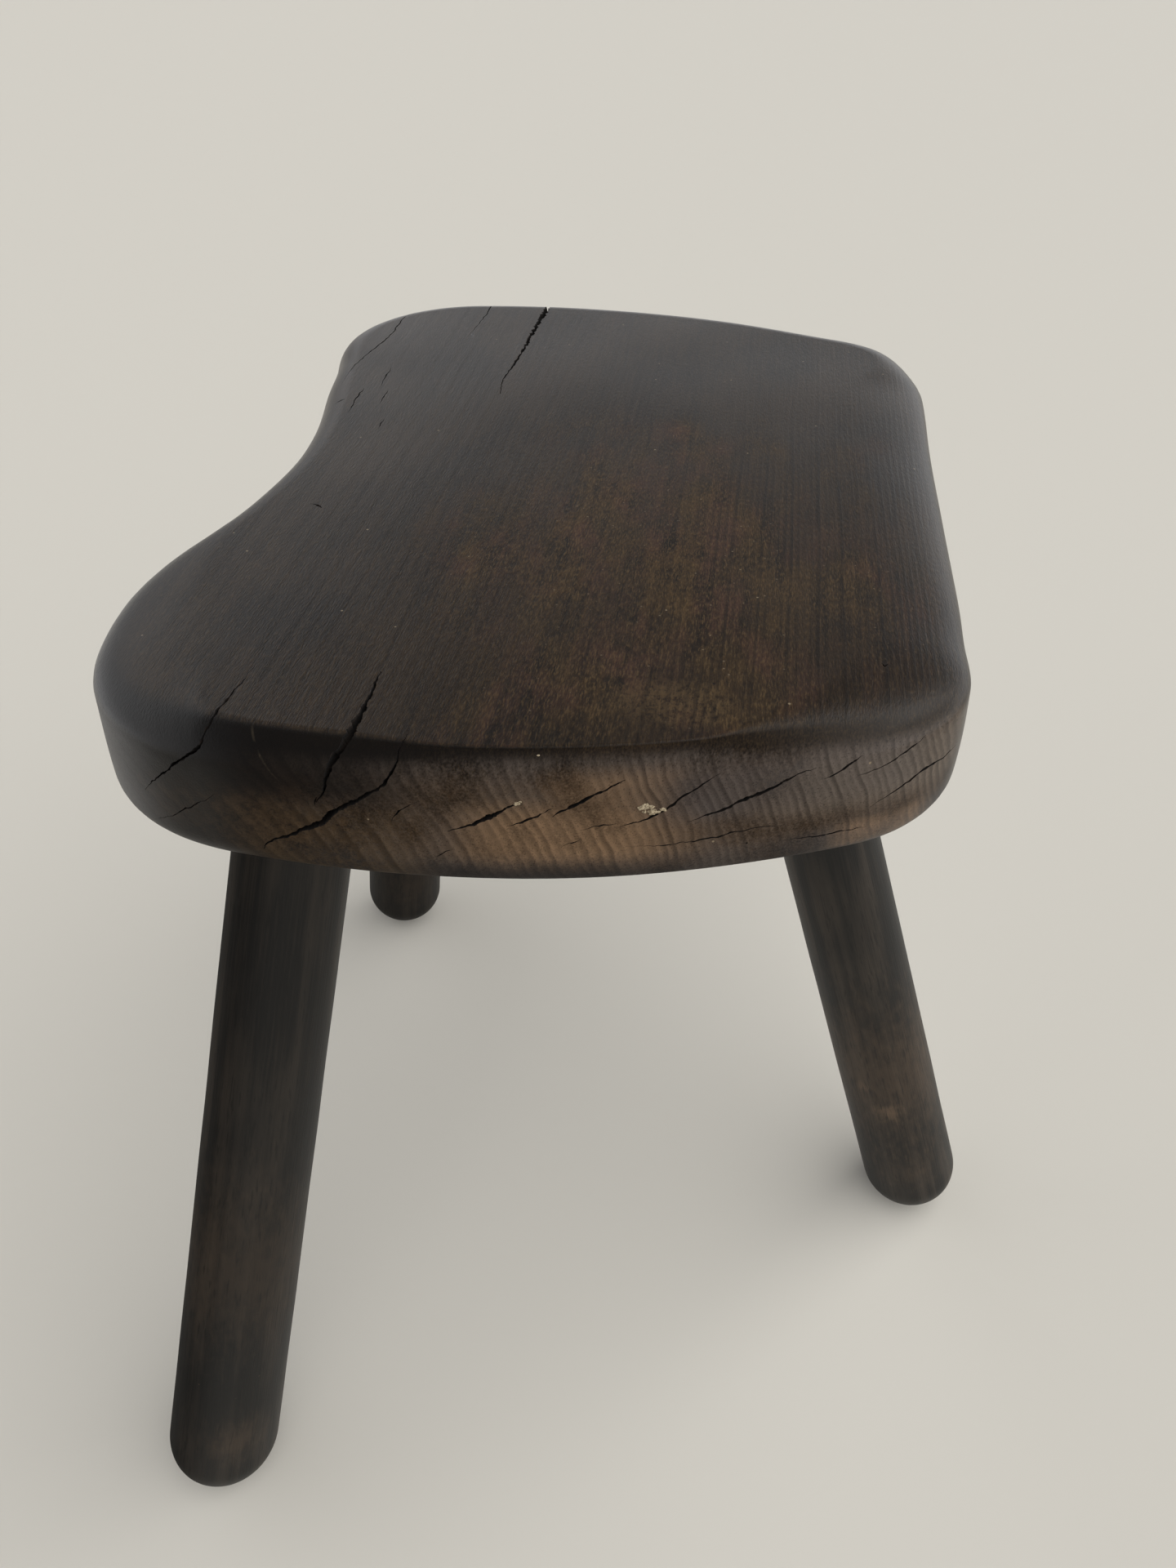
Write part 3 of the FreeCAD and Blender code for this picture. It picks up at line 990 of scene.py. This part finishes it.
    # One pale ring, then fibres and specks all over
    shell = abs(reach + bend * 0.12 - seatPaint["paleRing"])
    pale = ease(shell, 0.4, 0.1) * spread("pale") * ease(streak, 0.35, 0.6)
    colour = blend(pale * 0.07, colour, seatPaint["paleFleck"])
    colour = blend(ease(dash, 0.45, 0.3) * 0.5, colour, seatPaint["ringDark"])
    colour = blend(specks(where, *seatPaint["fineFlecks"]) * worn * 0.5, colour, seatPaint["paleFleck"])
    colour = blend(specks(where, *seatPaint["paleFlecks"]) * 0.7, colour, seatPaint["paleFleck"])
    colour = blend(specks(where, *seatPaint["darkFlecks"]), colour, seatPaint["ringDark"])
    roughness = 0.25 + 0.12 * fuzz + 0.08 * worn
    height = fibre * 0.35 + late * 0.2 + dash * 0.6
    dry = nearEnd * (1 - flat) * greatest(spread("dryNear"), spread("dryWall") * 0.5)
    dry = greatest(dry, front * spread("dryCorner") * 0.6, worn * 0.4)
    shade(start, colour, roughness, height, seatPaint["bumpDepth"], seatPaint["gloss"], dry)


# Legs: grain along each leg's own axis; worn places by photo point, with sizes in millimetres
legPaint = dict(
    deepStain=tint(11, 10, 9),
    midStain=tint(24, 21, 18),
    redBrown=tint(49, 43, 37),
    wornBrown=tint(90, 73, 57),
    grainDark=tint(8, 7, 6),
    flecks=(14, 0.5, 7.0),
    bumpDepth=0.14 * mm,
    lift=dict(near_leg=0.5, side_leg=1.0, far_leg=0.4),    # how far the red-brown shows
    gloss=dict(near_leg=0.23, side_leg=0.27, far_leg=0.11),
    dull=dict(near_leg=0.9, side_leg=0.0, far_leg=0.3),    # share of the wax lost down the left side
    dullSide=(0.3, -0.5),
    worn={
        "near_leg": [
            dict(at=(300, 1560), size=60, share=0.16),
            dict(at=(290, 1765), size=18, share=0.24),
        ],
        "side_leg": [
            dict(at=(1088, 1362), size=8, share=0.8),
            dict(at=(1058, 1332), size=5, share=0.7),
            dict(at=(1090, 1330), size=75, share=0.35),
            dict(at=(1112, 1435), size=22, share=0.2),
        ],
        "far_leg": [
            dict(at=(505, 1085), size=30, share=0.15),
        ],
    },
)

# As for the seat, in the order in which paintLeg takes them
legGrain = dict(
    fibre=((1.2, 1.2, 0.025), 3.0, 0.65),
    pore=((0.8, 0.8, 0.08), 2.0, 0.5),
    band=((0.16, 0.16, 0.004), 2.0, 0.5),
    cloud=((0.03, 0.03, 0.012), 3.0, 0.5),
    fuzz=((0.3, 0.3, 0.12), 3.0, 0.6),
)


def paintLeg(name):
    material, toWorld, surface = legFinishes[name]
    start = startNodes(material)
    place = millimetres(start)
    where = start.node("ShaderNodeMapping", {"vector_type": "TEXTURE"}, {
        "Vector": place, "Location": toWorld.to_translation() / mm, "Rotation": toWorld.to_euler()})
    fibre, pore, band, cloud, fuzz = (speckle(where, *look) for look in legGrain.values())
    stain = ease(cloud * 0.4 + fibre * 0.6, 0.4, 0.6)
    colour = blend(stain, legPaint["deepStain"], legPaint["midStain"])
    lifted = ease(cloud * 0.5 + band * 0.5, 0.44, 0.64) * legPaint["lift"][name]
    colour = blend(lifted, colour, legPaint["redBrown"])
    for spot in legPaint["worn"][name]:
        centre = seenAt(surface, spot["at"])[0] / mm
        gap = place.node("ShaderNodeVectorMath", {"operation": "DISTANCE"}, {0: place, 1: centre}, "Value")
        worn = ease(gap / spot["size"] + (fuzz - 0.5) * 1.8 + (fibre - 0.5) * 1.2, 1.2, -0.2)
        colour = blend(worn * spot["share"], colour, legPaint["wornBrown"])
    colour = blend(ease(pore, 0.56, 0.7) * 0.6, colour, legPaint["grainDark"])
    colour = blend(specks(where, *legPaint["flecks"]) * 0.3, colour, legPaint["wornBrown"])
    roughness = 0.38 + 0.16 * fibre + 0.08 * cloud
    height = fibre * 0.7 + band * 0.3
    dry = ease(facing(start)[0], *legPaint["dullSide"]) * legPaint["dull"][name]
    shade(start, colour, roughness, height, legPaint["bumpDepth"], legPaint["gloss"][name], dry)


# Plain finishes: one noise goes from one colour to another, and roughens the surface as it does
# Crack walls: near black, shade painted into the cracks on top of their own shadow
crackPaint = dict(
    colours=(tint(9, 7, 6), tint(34, 25, 19)),
    limits=(0.4, 0.75),
    grain=((0.5, 0.06, 0.9), 3.0),
    roughness=0.85,
    rougher=0.1,
    bumpDepth=0.2 * mm,
)
wedgePaint = dict(
    colours=(tint(176, 138, 94), tint(140, 102, 64)),
    limits=(0.35, 0.65),
    grain=((0.9, 0.9, 0.12), 3.0),
    roughness=0.55,
    rougher=0.15,
    bumpDepth=0.1 * mm,
)
fillerLook = dict(
    colours=(tint(172, 159, 134), tint(112, 98, 78)),
    limits=(0.4, 0.65),
    grain=((1.8, 1.8, 1.8), 3.0),
    roughness=0.8,
    rougher=0.15,
    bumpDepth=0.15 * mm,
)


def paintPlain(material, look):
    start = startNodes(material)
    streak = speckle(millimetres(start), *look["grain"])
    colour = blend(ease(streak, *look["limits"]), *look["colours"])
    shade(start, colour, look["roughness"] + look["rougher"] * streak, streak, look["bumpDepth"])


paintSeat()
for name in legFinishes:
    paintLeg(name)
for material, look in ((crackWood, crackPaint), (wedgeWood, wedgePaint), (fillerPaint, fillerLook)):
    paintPlain(material, look)
for name, node in nodes.items():
    if name.endswith("_wedge"):
        node.data.materials.clear()
        node.data.materials.append(wedgeWood)
print("finishes on")


# Floor and light; limits on the walls are parts of a unit vector that points there
studio = dict(
    floorReach=14.0,
    floorColour=tint(193, 189, 179),
    floorSeen=tint(211, 208, 200),    # paler to the eye, with no more light thrown on the stool
    floorRoughness=0.9,
    floorGloss=0.1,
    ceiling=(0.08, 0.08, 0.083, 1.0),
    nearWall=(0.66, 0.66, 0.67, 1.0),
    farWall=(1.02, 1.03, 1.05, 1.0),
    leftWall=(1.0, 1.0, 1.01, 1.0),
    leftShade=(0.45, 0.45, 0.46, 1.0),
    wallTop=0.34,
    wallFade=(0.06, -0.14),
    leftFrom=-0.25,         # left of this the wall rises by this slope
    leftSlope=1.4,
    rightSpan=(0.0, 0.16),
    rightRise=0.03,
    farSpan=(-0.4, 0.5),
    leftSpan=(-0.45, -0.75),
    shadeX=(-0.3, -0.55),
    shadeY=(0.4, 0.65),
    shadeZ=(0.5, 0.25),
    sunFrom=(1.0, -0.33, 0.95),
    sunPower=3.3,
    sunWidth=105,
    sunColour=(1.0, 0.985, 0.96),
)


def makeFloor():
    bm = bmesh.new()
    bmesh.ops.create_grid(bm, x_segments=2, y_segments=2, size=studio["floorReach"])
    floorPaint = bpy.data.materials.new("floorPaint")
    floor = newPiece("floor", bm, [floorPaint])
    start = startNodes(floorPaint)
    rays = ("Is Camera Ray", "Is Glossy Ray", "Is Transmission Ray")
    seen = greatest(*[start.node("ShaderNodeLightPath", {}, {}, ray) for ray in rays])
    colour = blend(seen, studio["floorColour"], studio["floorSeen"])
    shader = start.node("ShaderNodeBsdfPrincipled", {}, {"Base Color": colour,
                                                         "Roughness": studio["floorRoughness"],
                                                         "Specular IOR Level": studio["floorGloss"]})
    start.node("ShaderNodeOutputMaterial", {}, {"Surface": shader})


# Pale walls all round, higher on both sides, under a dim ceiling
def makeWalls():
    scene.world = bpy.data.worlds.new("studio")
    start = startNodes(scene.world)
    wx, wy, wz = axes(start.node("ShaderNodeTexCoord", {}, {}, "Generated"))
    wallTop = greatest(studio["leftFrom"] - wx, 0.0) * studio["leftSlope"]
    wallTop = wallTop + ease(wx, *studio["rightSpan"]) * studio["rightRise"] + studio["wallTop"]
    walls = blend(ease(wy, *studio["farSpan"]), studio["nearWall"], studio["farWall"])
    walls = blend(ease(wx, *studio["leftSpan"]), walls, studio["leftWall"])
    shaded = ease(wx, *studio["shadeX"]) * ease(wy, *studio["shadeY"]) * ease(wz, *studio["shadeZ"])
    walls = blend(shaded, walls, studio["leftShade"])
    sky = blend(ease(wz - wallTop, *studio["wallFade"]), studio["ceiling"], walls)
    glow = start.node("ShaderNodeBackground", {}, {"Color": sky, "Strength": 1.0})
    start.node("ShaderNodeOutputWorld", {}, {"Surface": glow})


def makeLamp():
    lamp = bpy.data.lights.new("window", "SUN")
    lamp.energy = studio["sunPower"]
    lamp.angle = math.radians(studio["sunWidth"])
    lamp.color = studio["sunColour"]
    light = bpy.data.objects.new("window", lamp)
    scene.collection.objects.link(light)
    light.location = studio["sunFrom"]
    light.rotation_euler = (-Vector(studio["sunFrom"])).to_track_quat("-Z", "Y").to_euler()


makeFloor()
makeWalls()
makeLamp()
scene.view_settings.view_transform = "Standard"
print("stage lit")
